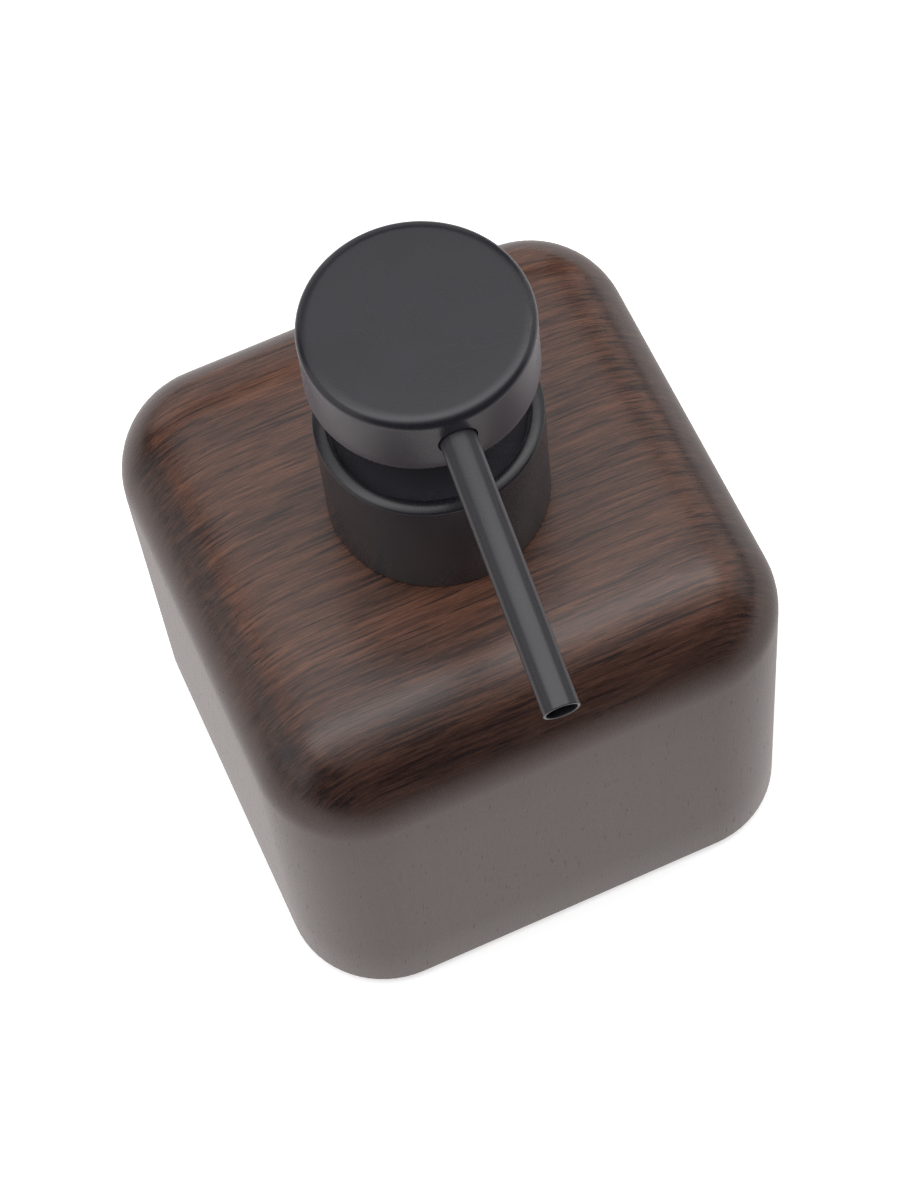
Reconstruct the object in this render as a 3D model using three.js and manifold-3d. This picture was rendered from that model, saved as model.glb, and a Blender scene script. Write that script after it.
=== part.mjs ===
import * as THREE from 'three';
import * as BufferGeometryUtils from 'three/addons/utils/BufferGeometryUtils.js';
import Module from 'manifold-3d';

const wasm = await Module();
wasm.setup();

// Soap pump dispenser: a hollow wooden block around a plastic liner bottle, with a
// lotion pump under a metal collar. Millimetres, +Z up, z = 0 under the base pad,
// the pump axis is the Z axis and the spout points towards -Y.

// Wooden block
const BODY_WIDTH = 95;
const BODY_TOP = 84;
const BODY_EDGE_RADIUS = 18;
const FOOT_EDGE_RADIUS = 1.5;
const WOOD_WALL = 8;
const CAVITY_CORNER_RADIUS = 22;

// Base: plate in a rebate, pad under it, a screw in each corner
const PAD_THICKNESS = 2;
const PAD_STANDS_PROUD = 1;
const PAD_INSET = 1.5;
const PLATE_THICKNESS = 3;
const REBATE_WALL = 3.2;
const SCREW_HEAD_RADIUS = 2.8;
const SCREW_HEAD_HEIGHT = 1.3;
const SCREW_SHANK_RADIUS = 1.4;
const SCREW_BITE = 12;
const SCREW_SLOT_WIDTH = 0.9;
const SCREW_SLOT_DEPTH = 0.7;

// Liner bottle
const LINER_GAP = 1.5;
const LINER_WALL = 1.5;
const LINER_EDGE_RADIUS = 6;
const NECK_RADIUS = 12.5;
const NECK_BORE_RADIUS = 10.7;
const NECK_ABOVE_BLOCK = 17;

// Screw thread on the neck, its run-out in turns
const THREAD_PITCH = 4.2;
const THREAD_TURNS = 1.5;
const THREAD_HEIGHT = 1.2;
const THREAD_ROOT_WIDTH = 1.6;
const THREAD_TIP_WIDTH = 0.8;
const THREAD_BELOW_RIM = 9.5;
const THREAD_RUN_OUT = 0.15;
const THREAD_END_SHARE = 0.15;

// Closure stack on the neck rim
const GASKET_THICKNESS = 1.2;
const FLANGE_RADIUS = 12.4;
const FLANGE_THICKNESS = 1.4;
const CHAPLET_FLANGE_THICKNESS = 1.2;
const NUT_ROOF_THICKNESS = 1.4;
const NUT_SKIRT_BOTTOM_GAP = 2;
const NUT_GROOVE_COUNT = 20;
const NUT_GROOVE_DEPTH = 0.6;

// Collar
const COLLAR_RADIUS = 19;
const COLLAR_HEIGHT = 26;
const COLLAR_WALL = 1.2;
const COLLAR_LIP_WIDTH = 2.4;
const COLLAR_EDGE_RADIUS = 0.6;
const COLLAR_FLOOR_THICKNESS = 1;
const COLLAR_LIFT = 0.3;

// Pump cylinder
const CYLINDER_WALL = 1.4;
const CYLINDER_BORE_RADIUS = 6.5;
const CYLINDER_FLOOR_Z = 62;
const CHAPLET_SKIRT_RADIUS = 7.2;
const CHAPLET_SKIRT_LENGTH = 6.5;
const CHAPLET_BOSS_HEIGHT = 2.3;
const VENT_RADIUS = 0.9;
const VENT_BELOW_FLANGE = 12;
const BALL_RADIUS = 2.4;
const INLET_RADIUS = 1.4;
const SEAT_DEPTH = 2;
const BALL_CHAMBER_RADIUS = 3.2;
const SOCKET_WALL = 1.3;
const SOCKET_LENGTH = 8;
const DIP_TUBE_RADIUS = 3;
const DIP_TUBE_WALL = 0.8;
const DIP_TUBE_FOOT_GAP = 2.5;

// Stem, plug, piston and spring
const STEM_RADIUS = 4;
const STEM_BORE_RADIUS = 2.2;
const STEM_WALL_STEP = 0.6;
const PRESS_TRAVEL = 12;
const PISTON_HEIGHT = 5;
const PISTON_SLIP = 1.2;
const PLUG_ROD_RADIUS = 1.9;
const PLUG_FLANGE_RADIUS = 5.2;
const PLUG_FLANGE_THICKNESS = 1.5;
const PLUG_INSERTION = 6;
const SPRING_MEAN_RADIUS = 4.6;
const SPRING_WIRE_RADIUS = 0.45;
const SPRING_TURNS = 7;
const SPRING_LENGTH = 19.1;
const RETAINER_THICKNESS = 1.4;
const RETAINER_SPIGOT_RADIUS = 3.5;
const RETAINER_SPIGOT_HEIGHT = 2.4;

// Actuator head
const HEAD_RADIUS = 19;
const HEAD_THICKNESS = 13.5;
const HEAD_ABOVE_COLLAR = 14.5;
const HEAD_WALL = 1.2;
const HEAD_EDGE_RADIUS = 1.8;
const HEAD_COVER_RECESS = 0.4;
const HEAD_COVER_THICKNESS = 1.2;
const CORE_BOSS_RADIUS = 6.5;
const CORE_FLANGE_RADIUS = 9.5;
const CORE_FLANGE_THICKNESS = 1.4;
const CORE_STEM_DEPTH = 7.3;

// Spout
const SPOUT_RADIUS = 3;
const SPOUT_WALL = 0.45;
const SPOUT_REACH = 64.5;
const SPOUT_DROP_ANGLE = THREE.MathUtils.degToRad(9.5);
const SPOUT_TURN = THREE.MathUtils.degToRad(-4.5);
const SPOUT_BELOW_TOP = 7;
const SPOUT_SOCKET_RADIUS = 5;
const SPOUT_SOCKET_START = 8;
const SPOUT_SOCKET_END = 14.5;
const O_RING_RADIUS = 0.45;

// Clearances
const CLEARANCE = 0.3;
const CLOSE_CLEARANCE = 0.1;
const CUT_MARGIN = 1;

// Facets round a full turn
const LARGE_FACETS = 40;
const SMALL_FACETS = 20;
const CORNER_STEPS = 6;
const SPRING_STEPS_PER_TURN = 16;
const SPRING_WIRE_SIDES = 6;
const CREASE_ANGLE = THREE.MathUtils.degToRad(35);

// Heights worked out from the sizes above
const plateTop = PAD_THICKNESS + PLATE_THICKNESS;
const cavityTop = BODY_TOP - WOOD_WALL;
const neckTop = BODY_TOP + NECK_ABOVE_BLOCK;
const gasketTop = neckTop + GASKET_THICKNESS;
const flangeTop = gasketTop + FLANGE_THICKNESS;
const chapletFlangeTop = flangeTop + CHAPLET_FLANGE_THICKNESS;
const nutTop = chapletFlangeTop + NUT_ROOF_THICKNESS;
const dishFloor = nutTop + COLLAR_FLOOR_THICKNESS;
const chapletTop = dishFloor + CHAPLET_BOSS_HEIGHT;
const collarTop = BODY_TOP + COLLAR_HEIGHT;
const headBottom = collarTop + HEAD_ABOVE_COLLAR;
const headTop = headBottom + HEAD_THICKNESS;
const headRoof = headTop - HEAD_WALL;
const retainerTop = CYLINDER_FLOOR_Z + RETAINER_THICKNESS;
const plugBottom = retainerTop + SPRING_LENGTH;
const pistonBottom = plugBottom + PLUG_FLANGE_THICKNESS;
const stemBottom = pistonBottom + PISTON_HEIGHT + PISTON_SLIP;
const coreBottom = chapletTop + PRESS_TRAVEL + 2 * CLOSE_CLEARANCE;
const stemTop = coreBottom + CORE_STEM_DEPTH;

// Closed solid between rings of points, each ring the same length
function solidFromRings(rings) {
  const perRing = rings[0].length;
  const positions = [];
  const triangles = [];
  for (const ring of rings) {
    for (const point of ring) {
      positions.push(point.x, point.y, point.z);
    }
  }
  for (let row = 0; row + 1 < rings.length; row += 1) {
    for (let i = 0; i < perRing; i += 1) {
      const a = row * perRing + i;
      const b = row * perRing + ((i + 1) % perRing);
      triangles.push(a, b, b + perRing, a, b + perRing, a + perRing);
    }
  }
  const capEnd = (ring, offset, reversed) => {
    const centre = new THREE.Vector3();
    ring.forEach((point) => centre.addScaledVector(point, 1 / perRing));
    const hub = positions.length / 3;
    positions.push(centre.x, centre.y, centre.z);
    for (let i = 0; i < perRing; i += 1) {
      const a = offset + i;
      const b = offset + ((i + 1) % perRing);
      triangles.push(...(reversed ? [hub, b, a] : [hub, a, b]));
    }
  };
  capEnd(rings[0], 0, true);
  capEnd(rings[rings.length - 1], (rings.length - 1) * perRing, false);
  const geometry = new THREE.BufferGeometry();
  geometry.setAttribute('position', new THREE.Float32BufferAttribute(positions, 3));
  geometry.setIndex(triangles);
  return toManifold(geometry);
}

// Merged, outward-facing closed mesh as a manifold solid
function toManifold(source) {
  const bare = source.clone();
  bare.deleteAttribute('normal');
  bare.deleteAttribute('uv');
  const merged = BufferGeometryUtils.mergeVertices(bare, 1e-4);
  const points = merged.getAttribute('position').array;
  const corners = merged.getIndex().array;
  const triangles = [];
  let volume = 0;
  for (let i = 0; i < corners.length; i += 3) {
    const [a, b, c] = [corners[i], corners[i + 1], corners[i + 2]];
    if (a === b || b === c || c === a) {
      continue;
    }
    triangles.push(a, b, c);
    const [pa, pb, pc] = [a, b, c].map((n) => new THREE.Vector3().fromArray(points, 3 * n));
    volume += pa.dot(pb.cross(pc));
  }
  if (volume < 0) {
    triangles.reverse();
  }
  return new wasm.Manifold(new wasm.Mesh({
    numProp: 3,
    vertProperties: Float32Array.from(points),
    triVerts: Uint32Array.from(triangles),
  }));
}

// Solid of revolution about Z from [radius, z] pairs; a closed profile repeats its first pair
function turned(profile, facets = LARGE_FACETS) {
  const geometry = new THREE.LatheGeometry(profile.map(([r, z]) => new THREE.Vector2(r, z)), facets);
  geometry.rotateX(Math.PI / 2);
  return toManifold(geometry);
}

function tube(outer, inner, z0, z1, facets = LARGE_FACETS) {
  return turned([[inner, z0], [outer, z0], [outer, z1], [inner, z1], [inner, z0]], facets);
}

function rod(radius, z0, z1, facets = LARGE_FACETS) {
  return turned([[0, z0], [radius, z0], [radius, z1], [0, z1]], facets);
}

function block(width, depth, height, x, y, z) {
  const geometry = new THREE.BoxGeometry(width, depth, height);
  geometry.translate(x, y, z);
  return toManifold(geometry);
}

// Square outline with rounded corners at height z
function squareOutline(half, cornerRadius, z) {
  const points = [];
  for (let corner = 0; corner < 4; corner += 1) {
    for (let step = 0; step <= CORNER_STEPS; step += 1) {
      const angle = (corner + step / CORNER_STEPS) * (Math.PI / 2);
      const middle = (corner + 0.5) * (Math.PI / 2);
      const cx = Math.sign(Math.cos(middle)) * (half - cornerRadius);
      const cy = Math.sign(Math.sin(middle)) * (half - cornerRadius);
      points.push(new THREE.Vector3(
        cx + cornerRadius * Math.cos(angle),
        cy + cornerRadius * Math.sin(angle),
        z,
      ));
    }
  }
  return points;
}

// Upright square prism with rounded corners and rounded bottom and top edges
function roundedPrism(half, cornerRadius, z0, z1, bottomRadius = 0, topRadius = 0) {
  const rings = [];
  const addRing = (inset, z) => {
    rings.push(squareOutline(half - inset, Math.max(cornerRadius - inset, 0), z));
  };
  const bottomSteps = bottomRadius > 0 ? 3 : 0;
  for (let step = 0; step < bottomSteps; step += 1) {
    const angle = (step / bottomSteps) * (Math.PI / 2);
    addRing(bottomRadius * (1 - Math.sin(angle)), z0 + bottomRadius * (1 - Math.cos(angle)));
  }
  addRing(0, z0 + bottomRadius);
  addRing(0, z1 - topRadius);
  const topSteps = topRadius > 0 ? CORNER_STEPS : 0;
  for (let step = 1; step <= topSteps; step += 1) {
    const angle = (step / topSteps) * (Math.PI / 2);
    addRing(topRadius * (1 - Math.cos(angle)), z1 - topRadius + topRadius * Math.sin(angle));
  }
  return solidFromRings(rings);
}

// Solid swept round Z: section(turn) gives the [radius, z] pairs after that many turns
function swept(section, turns, stepsPerTurn) {
  const rings = [];
  const steps = Math.round(turns * stepsPerTurn);
  for (let step = 0; step <= steps; step += 1) {
    const turn = (step / steps) * turns;
    const angle = turn * 2 * Math.PI;
    rings.push(section(turn).map(([r, z]) => (
      new THREE.Vector3(r * Math.cos(angle), r * Math.sin(angle), z)
    )));
  }
  return solidFromRings(rings);
}

// Thread ridge standing off a round wall, low at both ends
function threadRidge(wallRadius, zStart) {
  return swept((turn) => {
    const ends = Math.min(turn, THREAD_TURNS - turn) / THREAD_RUN_OUT;
    const tip = wallRadius + THREAD_HEIGHT * Math.min(1, ends + THREAD_END_SHARE);
    const root = wallRadius - CLEARANCE;
    const z = zStart + turn * THREAD_PITCH;
    return [
      [root, z - THREAD_ROOT_WIDTH / 2],
      [tip, z - THREAD_TIP_WIDTH / 2],
      [tip, z + THREAD_TIP_WIDTH / 2],
      [root, z + THREAD_ROOT_WIDTH / 2],
    ];
  }, THREAD_TURNS, LARGE_FACETS);
}

const group = new THREE.Group();
group.name = 'soap_pump_dispenser';

const FINISHES = {
  walnut: { color: 0x5c463b, roughness: 0.42, metalness: 0 },
  black_metal: { color: 0x2a292c, roughness: 0.38, metalness: 0.85 },
  black_plastic: { color: 0x1c1c1e, roughness: 0.5, metalness: 0 },
  natural_plastic: { color: 0xd9dad4, roughness: 0.45, metalness: 0 },
  clear_plastic: { color: 0xe6e9e8, roughness: 0.25, metalness: 0 },
  steel: { color: 0xb4b6b8, roughness: 0.3, metalness: 1 },
  rubber: { color: 0x29292b, roughness: 0.85, metalness: 0 },
};

function addPiece(name, finish, solid) {
  const mesh = solid.getMesh();
  const geometry = new THREE.BufferGeometry();
  geometry.setAttribute('position', new THREE.Float32BufferAttribute(mesh.vertProperties, 3));
  geometry.setIndex(Array.from(mesh.triVerts));
  const material = new THREE.MeshStandardMaterial(FINISHES[finish]);
  material.name = finish;
  const piece = new THREE.Mesh(BufferGeometryUtils.toCreasedNormals(geometry, CREASE_ANGLE), material);
  piece.name = name;
  group.add(piece);
}

// Base sizes shared by the block, the plate and the screws
const bodyHalf = BODY_WIDTH / 2;
const plateHalf = bodyHalf - REBATE_WALL - CLEARANCE;
const plateCorner = BODY_EDGE_RADIUS - REBATE_WALL - CLEARANCE;
const cavityHalf = bodyHalf - WOOD_WALL;
const cornerReach = (half, radius) => half - radius + radius * Math.SQRT1_2;
const screwOffset = (cornerReach(cavityHalf, CAVITY_CORNER_RADIUS)
  + cornerReach(plateHalf, plateCorner)) / 2;
const screwPlaces = [[1, 1], [-1, 1], [-1, -1], [1, -1]].map(([sx, sy]) => (
  [sx * screwOffset, sy * screwOffset]
));

// Wooden block: rounded outside, routed out from below, rebated for the plate, bored for the neck
const threadTip = NECK_RADIUS + THREAD_HEIGHT;
let woodBody = roundedPrism(bodyHalf, BODY_EDGE_RADIUS, PAD_STANDS_PROUD, BODY_TOP,
  FOOT_EDGE_RADIUS, BODY_EDGE_RADIUS)
  .subtract(roundedPrism(cavityHalf, CAVITY_CORNER_RADIUS, plateTop - CUT_MARGIN, cavityTop))
  .subtract(roundedPrism(plateHalf + CLEARANCE, plateCorner + CLEARANCE, 0, plateTop))
  .subtract(rod(threadTip + 2 * CLEARANCE, cavityTop - CUT_MARGIN, BODY_TOP + CUT_MARGIN));
for (const [x, y] of screwPlaces) {
  woodBody = woodBody.subtract(rod(SCREW_SHANK_RADIUS + CLEARANCE, plateTop - CUT_MARGIN,
    plateTop + SCREW_BITE + CUT_MARGIN, SMALL_FACETS).translate([x, y, 0]));
}
addPiece('wood_body', 'walnut', woodBody);

// Base plate with a counterbored hole in each corner
const screwSeat = PAD_THICKNESS + SCREW_HEAD_HEIGHT + CLOSE_CLEARANCE;
let basePlate = roundedPrism(plateHalf, plateCorner, PAD_THICKNESS, plateTop);
for (const [x, y] of screwPlaces) {
  basePlate = basePlate
    .subtract(rod(SCREW_SHANK_RADIUS + CLEARANCE, 0, plateTop + CUT_MARGIN, SMALL_FACETS)
      .translate([x, y, 0]))
    .subtract(rod(SCREW_HEAD_RADIUS + CLEARANCE, 0, screwSeat, SMALL_FACETS).translate([x, y, 0]));
}
addPiece('base_plate', 'black_plastic', basePlate);

screwPlaces.forEach(([x, y], index) => {
  const headBase = screwSeat - SCREW_HEAD_HEIGHT;
  const tipLength = 2 * SCREW_SHANK_RADIUS;
  const slotLength = 1.3 * SCREW_HEAD_RADIUS;
  const slotZ = headBase + SCREW_SLOT_DEPTH / 2 - CUT_MARGIN / 2;
  const screw = turned([
    [0, headBase],
    [SCREW_HEAD_RADIUS, headBase],
    [SCREW_HEAD_RADIUS, screwSeat],
    [SCREW_SHANK_RADIUS, screwSeat],
    [SCREW_SHANK_RADIUS, plateTop + SCREW_BITE - tipLength],
    [0, plateTop + SCREW_BITE],
  ], SMALL_FACETS)
    .subtract(block(slotLength, SCREW_SLOT_WIDTH, SCREW_SLOT_DEPTH + CUT_MARGIN, 0, 0, slotZ))
    .subtract(block(SCREW_SLOT_WIDTH, slotLength, SCREW_SLOT_DEPTH + CUT_MARGIN, 0, 0, slotZ));
  addPiece(`base_screw_${index + 1}`, 'steel', screw.translate([x, y, 0]));
});

addPiece('base_pad', 'rubber', roundedPrism(plateHalf - PAD_INSET, plateCorner - PAD_INSET, 0,
  PAD_THICKNESS));

// Liner bottle: stands on the plate, its shoulder under the block's roof, neck through the bore
const linerHalf = cavityHalf - LINER_GAP;
const linerCorner = CAVITY_CORNER_RADIUS - LINER_GAP;
const innerBottle = roundedPrism(linerHalf, linerCorner, plateTop, cavityTop,
  LINER_EDGE_RADIUS / 2, LINER_EDGE_RADIUS)
  .add(rod(NECK_RADIUS, cavityTop - LINER_WALL, neckTop))
  .add(threadRidge(NECK_RADIUS, neckTop - THREAD_BELOW_RIM))
  .subtract(roundedPrism(linerHalf - LINER_WALL, linerCorner - LINER_WALL, plateTop + LINER_WALL,
    cavityTop - LINER_WALL, LINER_EDGE_RADIUS / 2 - LINER_WALL / 2, LINER_EDGE_RADIUS - LINER_WALL))
  .subtract(rod(NECK_BORE_RADIUS, cavityTop - LINER_WALL - CUT_MARGIN, neckTop + CUT_MARGIN));
addPiece('inner_bottle', 'natural_plastic', innerBottle);

// Closure nut: grooved skirt bored clear of the neck's thread, roof over the chaplet's flange
const nutBore = threadTip + CLEARANCE;
const collarInner = COLLAR_RADIUS - COLLAR_WALL;
const nutRadius = collarInner - CLEARANCE;
const nutBottom = BODY_TOP + NUT_SKIRT_BOTTOM_GAP;
const stemPassage = CHAPLET_SKIRT_RADIUS + CLEARANCE;
let closureNut = turned([
  [nutBore, nutBottom],
  [nutRadius, nutBottom],
  [nutRadius, nutTop],
  [stemPassage, nutTop],
  [stemPassage, chapletFlangeTop],
  [nutBore, chapletFlangeTop],
  [nutBore, nutBottom],
]);
for (let groove = 0; groove < NUT_GROOVE_COUNT; groove += 1) {
  const cut = block(2 * NUT_GROOVE_DEPTH, 2 * NUT_GROOVE_DEPTH, nutTop - nutBottom,
    nutRadius, 0, (nutTop + nutBottom) / 2 - 2 * CUT_MARGIN);
  closureNut = closureNut.subtract(cut.rotate([0, 0, (groove * 360) / NUT_GROOVE_COUNT]));
}
addPiece('closure_nut', 'black_plastic', closureNut);

// Collar: metal cup over the nut, rounded rim, sunken floor with a hole for the chaplet
const lipInner = COLLAR_RADIUS - COLLAR_LIP_WIDTH;
const edge = COLLAR_EDGE_RADIUS;
const collarShell = turned([
  [collarInner, BODY_TOP + COLLAR_LIFT],
  [COLLAR_RADIUS, BODY_TOP + COLLAR_LIFT],
  [COLLAR_RADIUS, collarTop - edge],
  [COLLAR_RADIUS - edge * 0.3, collarTop - edge * 0.3],
  [COLLAR_RADIUS - edge, collarTop],
  [lipInner + edge, collarTop],
  [lipInner + edge * 0.3, collarTop - edge * 0.3],
  [lipInner, collarTop - edge],
  [lipInner, dishFloor],
  [stemPassage, dishFloor],
  [stemPassage, nutTop],
  [collarInner, nutTop],
  [collarInner, BODY_TOP + COLLAR_LIFT],
]);
addPiece('collar_shell', 'black_metal', collarShell);

const headBore = CHAPLET_SKIRT_RADIUS + CLEARANCE;
const cylinderHeadRadius = headBore + CYLINDER_WALL;
addPiece('housing_gasket', 'rubber', tube(FLANGE_RADIUS, cylinderHeadRadius + CLEARANCE, neckTop,
  gasketTop));

// Pump cylinder: flange on the gasket, vented bore, ball seat and dip tube socket
const cylinderRadius = CYLINDER_BORE_RADIUS + CYLINDER_WALL;
const skirtBottom = flangeTop - CHAPLET_SKIRT_LENGTH;
const chamberBottom = CYLINDER_FLOOR_Z - 2 * SEAT_DEPTH;
const seatBottom = chamberBottom - SEAT_DEPTH;
const socketTop = seatBottom - SEAT_DEPTH;
const socketBottom = socketTop - SOCKET_LENGTH;
const socketBore = DIP_TUBE_RADIUS + CLEARANCE;
const socketRadius = socketBore + SOCKET_WALL;
const vent = rod(VENT_RADIUS, 0, 2 * cylinderRadius, SMALL_FACETS).rotate([90, 0, 0])
  .translate([0, 0, flangeTop - VENT_BELOW_FLANGE]);
const pumpHousing = turned([
  [socketBore, socketBottom],
  [socketRadius, socketBottom],
  [socketRadius, socketTop],
  [cylinderRadius, chamberBottom],
  [cylinderRadius, skirtBottom - CYLINDER_WALL],
  [cylinderHeadRadius, skirtBottom],
  [cylinderHeadRadius, gasketTop],
  [FLANGE_RADIUS, gasketTop],
  [FLANGE_RADIUS, flangeTop],
  [headBore, flangeTop],
  [headBore, skirtBottom],
  [CYLINDER_BORE_RADIUS, skirtBottom],
  [CYLINDER_BORE_RADIUS, CYLINDER_FLOOR_Z],
  [BALL_CHAMBER_RADIUS, CYLINDER_FLOOR_Z],
  [BALL_CHAMBER_RADIUS, chamberBottom],
  [INLET_RADIUS, seatBottom],
  [INLET_RADIUS, socketTop],
  [socketBore, socketTop],
  [socketBore, socketBottom],
]).subtract(vent);
addPiece('pump_housing', 'natural_plastic', pumpHousing);

// Chaplet: flange clamped by the nut, skirt down into the cylinder, guide boss for the stem
const chaplet = tube(CHAPLET_SKIRT_RADIUS, STEM_RADIUS + CLEARANCE, skirtBottom, chapletTop)
  .add(tube(FLANGE_RADIUS, STEM_RADIUS + 2 * CLEARANCE, flangeTop, chapletFlangeTop));
addPiece('chaplet', 'black_plastic', chaplet);

// Dip tube with a foot cut on the slant
const tubeFoot = plateTop + LINER_WALL + DIP_TUBE_FOOT_GAP;
const footCut = block(8 * DIP_TUBE_RADIUS, 8 * DIP_TUBE_RADIUS, 4 * DIP_TUBE_RADIUS, 0, 0,
  -2 * DIP_TUBE_RADIUS).rotate([0, 30, 0]).translate([0, 0, tubeFoot + DIP_TUBE_RADIUS]);
const dipTube = tube(DIP_TUBE_RADIUS, DIP_TUBE_RADIUS - DIP_TUBE_WALL, tubeFoot - DIP_TUBE_RADIUS,
  socketTop, SMALL_FACETS).subtract(footCut);
addPiece('dip_tube', 'clear_plastic', dipTube);

// Inlet ball on its cone, and the slotted retainer above it that also seats the spring
const seatSlope = Math.atan2(BALL_CHAMBER_RADIUS - INLET_RADIUS, SEAT_DEPTH);
const seatApex = seatBottom - INLET_RADIUS / Math.tan(seatSlope);
const ballCentre = seatApex + BALL_RADIUS / Math.sin(seatSlope) + CLOSE_CLEARANCE;
const ball = new THREE.SphereGeometry(BALL_RADIUS, SMALL_FACETS, SMALL_FACETS / 2);
ball.rotateX(Math.PI / 2);
addPiece('inlet_ball', 'steel', toManifold(ball).translate([0, 0, ballCentre]));

let ballRetainer = tube(CYLINDER_BORE_RADIUS - CLEARANCE, INLET_RADIUS, CYLINDER_FLOOR_Z,
  retainerTop).add(tube(RETAINER_SPIGOT_RADIUS, INLET_RADIUS, CYLINDER_FLOOR_Z,
  retainerTop + RETAINER_SPIGOT_HEIGHT));
for (const angle of [0, 120, 240]) {
  ballRetainer = ballRetainer.subtract(block(RETAINER_SPIGOT_RADIUS, 2 * VENT_RADIUS,
    2 * RETAINER_THICKNESS, RETAINER_SPIGOT_RADIUS / 2, 0, CYLINDER_FLOOR_Z)
    .rotate([0, 0, angle]));
}
addPiece('ball_retainer', 'natural_plastic', ballRetainer);

// Return spring: one closed coil at each end, open coils between
const closedPitch = 2 * SPRING_WIRE_RADIUS + CLOSE_CLEARANCE;
const openPitch = (SPRING_LENGTH - 2 * SPRING_WIRE_RADIUS - 2 * closedPitch) / (SPRING_TURNS - 2);
const returnSpring = swept((turn) => {
  const rise = Math.min(turn, 1) * closedPitch
    + Math.min(Math.max(turn - 1, 0), SPRING_TURNS - 2) * openPitch
    + Math.max(turn - SPRING_TURNS + 1, 0) * closedPitch;
  const centreZ = retainerTop + SPRING_WIRE_RADIUS + rise;
  return Array.from({ length: SPRING_WIRE_SIDES }, (unused, side) => {
    const around = (side * 2 * Math.PI) / SPRING_WIRE_SIDES;
    return [
      SPRING_MEAN_RADIUS + SPRING_WIRE_RADIUS * Math.cos(around),
      centreZ + SPRING_WIRE_RADIUS * Math.sin(around),
    ];
  });
}, SPRING_TURNS, SPRING_STEPS_PER_TURN);
addPiece('return_spring', 'steel', returnSpring);

// Stem plug: flange on the spring, rod up through the piston into the stem
const plugTop = stemBottom + PLUG_INSERTION;
addPiece('stem_plug', 'natural_plastic', turned([
  [0, plugBottom],
  [PLUG_FLANGE_RADIUS, plugBottom],
  [PLUG_FLANGE_RADIUS, pistonBottom],
  [PLUG_ROD_RADIUS, pistonBottom],
  [PLUG_ROD_RADIUS, plugTop],
  [0, plugTop],
], SMALL_FACETS));

// Piston: a ring with a lip at each end against the bore
const pistonRadius = CYLINDER_BORE_RADIUS - CLOSE_CLEARANCE;
const pistonWaist = pistonRadius - 2 * O_RING_RADIUS;
const pistonTop = pistonBottom + PISTON_HEIGHT;
const lipHeight = PISTON_HEIGHT / 5;
addPiece('piston', 'clear_plastic', turned([
  [PLUG_ROD_RADIUS + CLEARANCE, pistonBottom],
  [pistonRadius, pistonBottom],
  [pistonRadius, pistonBottom + lipHeight],
  [pistonWaist, pistonBottom + 2 * lipHeight],
  [pistonWaist, pistonTop - 2 * lipHeight],
  [pistonRadius, pistonTop - lipHeight],
  [pistonRadius, pistonTop],
  [PLUG_ROD_RADIUS + CLEARANCE, pistonTop],
  [PLUG_ROD_RADIUS + CLEARANCE, pistonBottom],
]));

// Stem: stepped bore that stops on the plug, open above into the head core
addPiece('stem', 'black_plastic', turned([
  [STEM_BORE_RADIUS, stemBottom],
  [STEM_RADIUS, stemBottom],
  [STEM_RADIUS, stemTop],
  [STEM_BORE_RADIUS - STEM_WALL_STEP, stemTop],
  [STEM_BORE_RADIUS - STEM_WALL_STEP, plugTop],
  [STEM_BORE_RADIUS, plugTop],
  [STEM_BORE_RADIUS, stemBottom],
], SMALL_FACETS));

// Turns a solid built along +Z, starting at the axis, into the spout's line
const spoutWallHeight = headTop - SPOUT_BELOW_TOP;
const spoutAxisHeight = spoutWallHeight + HEAD_RADIUS * Math.tan(SPOUT_DROP_ANGLE);
const alongSpout = (solid) => solid
  .rotate([90 + THREE.MathUtils.radToDeg(SPOUT_DROP_ANGLE), 0, 0])
  .translate([0, 0, spoutAxisHeight])
  .rotate([0, 0, THREE.MathUtils.radToDeg(SPOUT_TURN)]);
const alongLength = (reach) => reach / Math.cos(SPOUT_DROP_ANGLE);

// Head shell: metal cap with a rounded top edge, holed for the spout
const headInner = HEAD_RADIUS - HEAD_WALL;
const capProfile = [[headInner, headBottom], [HEAD_RADIUS, headBottom]];
for (let step = 0; step <= CORNER_STEPS; step += 1) {
  const angle = (step / CORNER_STEPS) * (Math.PI / 2);
  capProfile.push([
    HEAD_RADIUS - HEAD_EDGE_RADIUS * (1 - Math.cos(angle)),
    headTop - HEAD_EDGE_RADIUS * (1 - Math.sin(angle)),
  ]);
}
capProfile.push([0, headTop], [0, headRoof], [headInner, headRoof], [headInner, headBottom]);
const spoutHole = alongSpout(rod(SPOUT_RADIUS + 2 * CLEARANCE, alongLength(SPOUT_SOCKET_END),
  alongLength(HEAD_RADIUS + 2 * CUT_MARGIN), SMALL_FACETS));
addPiece('head_shell', 'black_metal', turned(capProfile).subtract(spoutHole));

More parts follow.
